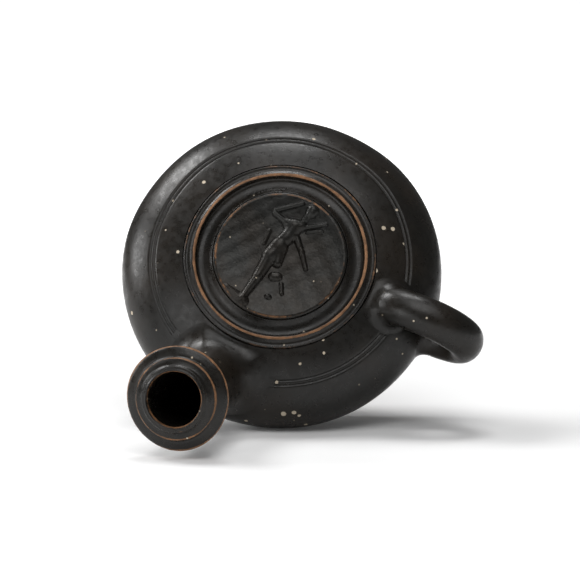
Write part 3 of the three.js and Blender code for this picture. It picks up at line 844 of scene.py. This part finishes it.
class Graph:
    """A small helper that adds nodes to a tree and links them."""

    def __init__(self, tree):
        self.tree = tree

    def add(self, kind, inputs=(), **settings):
        node = self.tree.nodes.new(kind)
        for key, value in settings.items():
            setattr(node, key, value)
        for key, value in dict(inputs).items():
            if isinstance(value, bpy.types.NodeSocket):
                self.tree.links.new(value, node.inputs[key])
            else:
                node.inputs[key].default_value = value
        return node

    def math(self, operation, a, b=0.0, clamp=False):
        return self.add("ShaderNodeMath", {0: a, 1: b}, operation=operation, use_clamp=clamp).outputs[0]

    def mix(self, factor, a, b):
        node = self.add("ShaderNodeMix", {0: factor, 6: a, 7: b}, data_type="RGBA")
        return node.outputs[2]

    def noise(self, place, scale, detail, roughness):
        inputs = {"Vector": place, "Scale": scale, "Detail": detail, "Roughness": roughness}
        return self.add("ShaderNodeTexNoise", inputs).outputs[0]

    def ramp(self, value, low, high, start=0.0, end=1.0):
        inputs = {"Value": value, "From Min": low, "From Max": high, "To Min": start, "To Max": end}
        return self.add("ShaderNodeMapRange", inputs, interpolation_type="SMOOTHSTEP").outputs[0]


def new_group(name, inputs, outputs):
    group = bpy.data.node_groups.new(name, "ShaderNodeTree")
    for label, kind, default in inputs:
        socket = group.interface.new_socket(label, in_out="INPUT", socket_type=kind)
        socket.default_value = default
    for label, kind in outputs:
        group.interface.new_socket(label, in_out="OUTPUT", socket_type=kind)
    return group, Graph(group)


def mottle_group():
    """Broad and fine cloudiness of a brushed glaze, each from 0 to 1."""
    given, kept = ("Scale", "NodeSocketFloat", 1.0), ("NodeSocketFloat",)
    group, g = new_group("Glaze mottle", [given], [("Broad", *kept), ("Fine", *kept)])
    scale = g.add("NodeGroupInput").outputs[0]
    place = g.add("ShaderNodeTexCoord").outputs["Object"]
    broad = g.noise(place, g.math("MULTIPLY", scale, 38.0), 3.0, 0.55)
    fine = g.noise(place, g.math("MULTIPLY", scale, 420.0), 4.0, 0.6)
    leave = g.add("NodeGroupOutput", {0: g.ramp(broad, 0.35, 0.68), 1: g.ramp(fine, 0.3, 0.7)})
    leave.is_active_output = True
    return group


def wear_group():
    """Where glaze is gone: painted wear, which on the shoulder also holds a painted highlight, and chips
    broken up by grain, and the depth of the loss.
    """
    given = {"Wear": 0.0, "Chip": 0.0, "Amount": 0.5}
    sockets = [(label, "NodeSocketFloat", value) for label, value in given.items()]
    group, g = new_group("Glaze wear", sockets, [("Edge", "NodeSocketFloat"), ("Chip", "NodeSocketFloat")])
    entry = g.add("NodeGroupInput")
    place = g.add("ShaderNodeTexCoord").outputs["Object"]
    grain = g.noise(place, 900.0, 4.0, 0.65)
    patch = g.noise(place, 110.0, 3.0, 0.6)
    broken = g.math("ADD", g.math("MULTIPLY", grain, 0.5), g.math("MULTIPLY", patch, 0.9))
    amount = g.math("ADD", entry.outputs["Amount"], 0.5)
    level = g.math("ADD", g.math("MULTIPLY", entry.outputs["Wear"], amount), broken)
    edge = g.ramp(level, 1.12, 1.42)
    chip = g.ramp(g.math("ADD", entry.outputs["Chip"], g.math("MULTIPLY", grain, 0.7)), 0.62, 0.8)
    leave = g.add("NodeGroupOutput", {0: edge, 1: chip})
    leave.is_active_output = True
    return group


def speck_group():
    """Small pale specks: the middles of scattered cells, kept where a noise is high."""
    group, g = new_group("Specks", [("Scale", "NodeSocketFloat", 300.0)], [("Mask", "NodeSocketFloat")])
    entry = g.add("NodeGroupInput")
    place = g.add("ShaderNodeTexCoord").outputs["Object"]
    cells = g.add("ShaderNodeTexVoronoi", {"Vector": place, "Scale": entry.outputs[0], "Randomness": 1.0})
    near = g.ramp(cells.outputs["Distance"], 0.14, 0.05)
    pick = g.add("ShaderNodeSeparateColor", {0: cells.outputs["Color"]}).outputs[0]
    kept = g.ramp(pick, 0.86, 0.88)
    leave = g.add("NodeGroupOutput", {0: g.math("MULTIPLY", near, kept)})
    leave.is_active_output = True
    return group


def shared_groups():
    makers = {"Glaze mottle": mottle_group, "Glaze wear": wear_group, "Specks": speck_group}
    return {name: bpy.data.node_groups.get(name) or make() for name, make in makers.items()}


def glaze_material(
        name, finish, base, roughness, mottle_scale=1.0, speck_scale=300.0, pitting=1.0, metallic=0.0):
    """Black glaze: cloudy colour and gloss, brown thin patches, worn orange edges (on the shoulder partly a
    painted highlight on the lamp side), pale chips and specks.
    """
    groups = shared_groups()
    material = bpy.data.materials.new(name)
    material.use_nodes = True
    material.node_tree.nodes.clear()
    g = Graph(material.node_tree)
    mottle = g.add("ShaderNodeGroup", node_tree=groups["Glaze mottle"])
    mottle.inputs["Scale"].default_value = mottle_scale
    worn = g.add("ShaderNodeGroup", node_tree=groups["Glaze wear"])
    worn.inputs["Amount"].default_value = finish.wear
    for socket, attribute in (("Wear", "wear"), ("Chip", "chip")):
        source = g.add("ShaderNodeAttribute", attribute_name=attribute)
        g.tree.links.new(source.outputs["Fac"], worn.inputs[socket])
    specks = g.add("ShaderNodeGroup", node_tree=groups["Specks"])
    specks.inputs["Scale"].default_value = speck_scale
    brown = g.math("MULTIPLY", mottle.outputs["Broad"], 0.55)
    colour_a = g.mix(brown, (*base, 1), (*finish.brown, 1))
    clay = g.mix(mottle.outputs["Fine"], (*finish.clay, 1), (*[c * 0.5 for c in finish.clay], 1))
    colour_b = g.mix(worn.outputs["Edge"], colour_a, clay)
    lost = g.math("MAXIMUM", worn.outputs["Chip"], specks.outputs["Mask"])
    bare = g.math("MAXIMUM", lost, worn.outputs["Edge"])
    colour_c = g.mix(lost, colour_b, (*finish.deposit, 1))
    gloss = g.ramp(mottle.outputs["Fine"], 0.0, 1.0, roughness - 0.05, roughness + 0.07)
    dull = g.math("ADD", gloss, g.math("MULTIPLY", bare, 0.35), clamp=True)
    sunk = g.math("MULTIPLY", bare, -0.6)
    height = g.math("ADD", g.math("MULTIPLY", mottle.outputs["Fine"], 0.35 * pitting), sunk)
    relief_bump = g.add("ShaderNodeBump", {"Height": height, "Strength": 0.5, "Distance": 0.12 * MM})
    shader = g.add("ShaderNodeBsdfPrincipled", {
        "Base Color": colour_c,
        "Roughness": dull,
        "Normal": relief_bump.outputs[0],
        "Metallic": metallic,
        "Specular IOR Level": SPECULAR_LEVEL,
    })
    g.add("ShaderNodeOutputMaterial", {"Surface": shader.outputs[0]})
    return material


# The table: how far below the body's middle, its tilt, and how white it glows near the vessel and far off
TABLE_DROP = 48.3 * MM
TABLE_TILT = math.radians(9)
TABLE_GREY = 0.93
TABLE_WHITE = (0.03, 0.5)
TABLE_FADE = (90 * MM, 600 * MM)
TABLE_HALF = 3.0
WORLD_LEVEL = 0.12


def white_for_camera(g, shader, white_strength):
    """Adds plain white light to a shader, seen by the camera and in reflections only."""
    path = g.add("ShaderNodeLightPath")
    seen = g.math("MAXIMUM", path.outputs["Is Camera Ray"], path.outputs["Is Glossy Ray"])
    seen = g.math("MAXIMUM", seen, path.outputs["Is Transmission Ray"])
    strength = g.math("MULTIPLY", seen, white_strength)
    light = g.add("ShaderNodeEmission", {"Color": (1, 1, 1, 1), "Strength": strength})
    return g.add("ShaderNodeAddShader", {0: shader, 1: light.outputs[0]}).outputs[0]


def table_material():
    """A pale matt table that fades to white for the camera and isn't there from below."""
    material = bpy.data.materials.new("pale_table")
    material.use_nodes = True
    material.node_tree.nodes.clear()
    g = Graph(material.node_tree)
    matt = g.add("ShaderNodeBsdfDiffuse", {"Color": (*[TABLE_GREY] * 3, 1)})
    place = g.add("ShaderNodeTexCoord").outputs["Object"]
    middle = Vector((AXIS.x, AXIS.y, BELLY_HEIGHT))
    away = g.add("ShaderNodeVectorMath", {0: place, 1: middle}, operation="DISTANCE").outputs["Value"]
    lit = white_for_camera(g, matt.outputs[0], g.ramp(away, *TABLE_FADE, *TABLE_WHITE))
    clear = g.add("ShaderNodeBsdfTransparent")
    behind = g.add("ShaderNodeNewGeometry").outputs["Backfacing"]
    mixed = g.add("ShaderNodeMixShader", {0: behind, 1: lit, 2: clear.outputs[0]})
    g.add("ShaderNodeOutputMaterial", {"Surface": mixed.outputs[0]})
    return material


def make_table():
    """A square lying against the vessel's side, as the vessel lies in the photograph."""
    normal = from_camera((0, math.cos(TABLE_TILT), math.sin(TABLE_TILT))).normalized()
    centre = Vector((AXIS.x, AXIS.y, BELLY_HEIGHT)) - normal * TABLE_DROP
    side = from_camera((1, 0, 0)).normalized()
    along = normal.cross(side)
    ends = ((-1, -1), (1, -1), (1, 1), (-1, 1))
    corners = [centre + (side * a + along * b) * TABLE_HALF for a, b in ends]
    mesh = bpy.data.meshes.new("table")
    mesh.from_pydata([tuple(c) for c in corners], [], [(0, 1, 2, 3)])
    table = bpy.data.objects.new("table", mesh)
    bpy.context.scene.collection.objects.link(table)
    mesh.materials.append(table_material())


# Lamps: direction as right, up and towards the camera; width; power
LAMPS = {
    "upper_left_lamp": ((-0.58, 0.79, -0.2), 0.75, 22.0),
    "left_lamp": ((-0.93, 0.36, -0.05), 0.7, 15.0),
    "top_lamp": ((0.0, 0.98, -0.08), 0.7, 15.0),
    "front_lamp": ((0.05, 0.78, 0.62), 1.5, 18.0),
    "side_lamp": ((-0.65, 0.05, 0.75), 1.0, 8.0),
}
LAMP_DISTANCE = 2.2


def add_lamp(name, direction, size, power):
    """A square lamp in a direction given as right, up and towards the camera, aimed at the body."""
    centre = Vector((AXIS.x, AXIS.y, BELLY_HEIGHT))
    away = from_camera(direction).normalized()
    data = bpy.data.lights.new(name, "AREA")
    data.size = size
    data.energy = power
    lamp = bpy.data.objects.new(name, data)
    lamp.location = centre + away * LAMP_DISTANCE
    lamp.rotation_mode = "QUATERNION"
    lamp.rotation_quaternion = (-away).to_track_quat("-Z", "Y")
    bpy.context.scene.collection.objects.link(lamp)


def make_world():
    world = bpy.data.worlds.new("studio")
    bpy.context.scene.world = world
    world.use_nodes = True
    world.node_tree.nodes.clear()
    g = Graph(world.node_tree)
    path = g.add("ShaderNodeLightPath")
    strength = g.ramp(path.outputs["Is Camera Ray"], 0.0, 1.0, WORLD_LEVEL, 1.0)
    light = g.add("ShaderNodeBackground", {"Color": (1, 1, 1, 1), "Strength": strength})
    g.add("ShaderNodeOutputWorld", {"Surface": light.outputs[0]})


def make_camera():
    data = bpy.data.cameras.new("camera")
    data.lens = FOCAL
    data.sensor_width = SENSOR
    data.clip_start, data.clip_end = 0.05, 20
    camera = bpy.data.objects.new("camera", data)
    bpy.context.scene.collection.objects.link(camera)
    camera.matrix_world = Matrix.Translation(camera_place()) @ photo_axes().transposed().to_4x4()
    bpy.context.scene.camera = camera


def vessel(context):
    s = context.scene.guttus_sizes
    body = Body(s)
    return s, body, Spout(s, body), Loop(s, body)


class GUTTUS_OT_foot(bpy.types.Operator):
    """Turn the foot ring and glaze it"""

    bl_idname = "guttus.foot"
    bl_label = "Foot"

    def execute(self, context):
        s, f = context.scene.guttus_sizes, context.scene.guttus_finish
        make_foot(s).data.materials.append(glaze_material("foot_glaze", f, f.glaze, f.roughness + 0.05))
        return {"FINISHED"}


class GUTTUS_OT_body(bpy.types.Operator):
    """Turn the bowl and the grooved shoulder and glaze them"""

    bl_idname = "guttus.body"
    bl_label = "Body"

    def execute(self, context):
        s, body, spout, _ = vessel(context)
        f = context.scene.guttus_finish
        glaze = glaze_material("body_glaze", f, f.glaze, f.roughness)
        make_bowl(s, body).data.materials.append(glaze)
        make_shoulder(s, body, spout).data.materials.append(glaze)
        return {"FINISHED"}


class GUTTUS_OT_medallion(bpy.types.Operator):
    """Turn the frame, model the medallion's relief and glaze both"""

    bl_idname = "guttus.medallion"
    bl_label = "Medallion"

    def execute(self, context):
        s, f = context.scene.guttus_sizes, context.scene.guttus_finish
        make_frame(s).data.materials.append(glaze_material("frame_glaze", f, f.glaze, f.roughness - 0.02))
        make_medallion(s).data.materials.append(
            glaze_material("medallion_glaze", f, f.sheen, f.roughness, 2.0, 420.0, 1.6, 0.5))
        return {"FINISHED"}


class GUTTUS_OT_spout(bpy.types.Operator):
    """Shape the spout, its clay fillet and its mouth, and glaze them"""

    bl_idname = "guttus.spout"
    bl_label = "Spout"

    def execute(self, context):
        s, body, spout, _ = vessel(context)
        f = context.scene.guttus_finish
        glaze = glaze_material("spout_glaze", f, f.glaze, f.roughness)
        make_neck(s, spout).data.materials.append(glaze)
        make_neck_fillet(s, body, spout).data.materials.append(glaze)
        glaze = glaze_material("mouth_glaze", f, f.glaze, f.roughness - 0.02)
        make_mouth(s, spout).data.materials.append(glaze)
        return {"FINISHED"}


class GUTTUS_OT_handle(bpy.types.Operator):
    """Bend the ring handle, press on its clay fillets and glaze them"""

    bl_idname = "guttus.handle"
    bl_label = "Handle"

    def execute(self, context):
        s, _, _, loop = vessel(context)
        f = context.scene.guttus_finish
        glaze = glaze_material("handle_glaze", f, f.glaze, f.roughness)
        make_handle(s, loop).data.materials.append(glaze)
        for place in HANDLE_ROOTS:
            make_handle_fillet(place, s, loop).data.materials.append(glaze)
        return {"FINISHED"}


class GUTTUS_OT_stage(bpy.types.Operator):
    """Set the table, the lamps, the white surroundings and the camera"""

    bl_idname = "guttus.stage"
    bl_label = "Stage"

    def execute(self, context):
        context.scene.view_settings.view_transform = "Standard"
        make_table()
        make_world()
        for name, (direction, size, power) in LAMPS.items():
            add_lamp(name, direction, size, power)
        make_camera()
        return {"FINISHED"}


class GUTTUS_PT_panel(bpy.types.Panel):
    """Lists the vessel's parts, sizes and colours"""

    bl_label = "Guttus"
    bl_idname = "GUTTUS_PT_panel"
    bl_space_type = "VIEW_3D"
    bl_region_type = "UI"
    bl_category = "Guttus"

    def draw(self, context):
        for step in STEPS:
            self.layout.operator(step.bl_idname)
        for owner in (context.scene.guttus_sizes, context.scene.guttus_finish):
            for key in owner.__annotations__:
                self.layout.prop(owner, key)


STEPS = (
    GUTTUS_OT_foot,
    GUTTUS_OT_body,
    GUTTUS_OT_medallion,
    GUTTUS_OT_spout,
    GUTTUS_OT_handle,
    GUTTUS_OT_stage,
)
CLASSES = (GuttusSizes, GuttusFinish, *STEPS, GUTTUS_PT_panel)


def register():
    for cls in CLASSES:
        bpy.utils.register_class(cls)
    bpy.types.Scene.guttus_sizes = PointerProperty(type=GuttusSizes)
    bpy.types.Scene.guttus_finish = PointerProperty(type=GuttusFinish)


def unregister():
    del bpy.types.Scene.guttus_finish
    del bpy.types.Scene.guttus_sizes
    for cls in reversed(CLASSES):
        bpy.utils.unregister_class(cls)


def main():
    register()
    bpy.ops.guttus.foot()
    bpy.ops.guttus.body()
    bpy.ops.guttus.medallion()
    bpy.ops.guttus.spout()
    bpy.ops.guttus.handle()
    bpy.ops.guttus.stage()


if __name__ == "__main__":
    main()
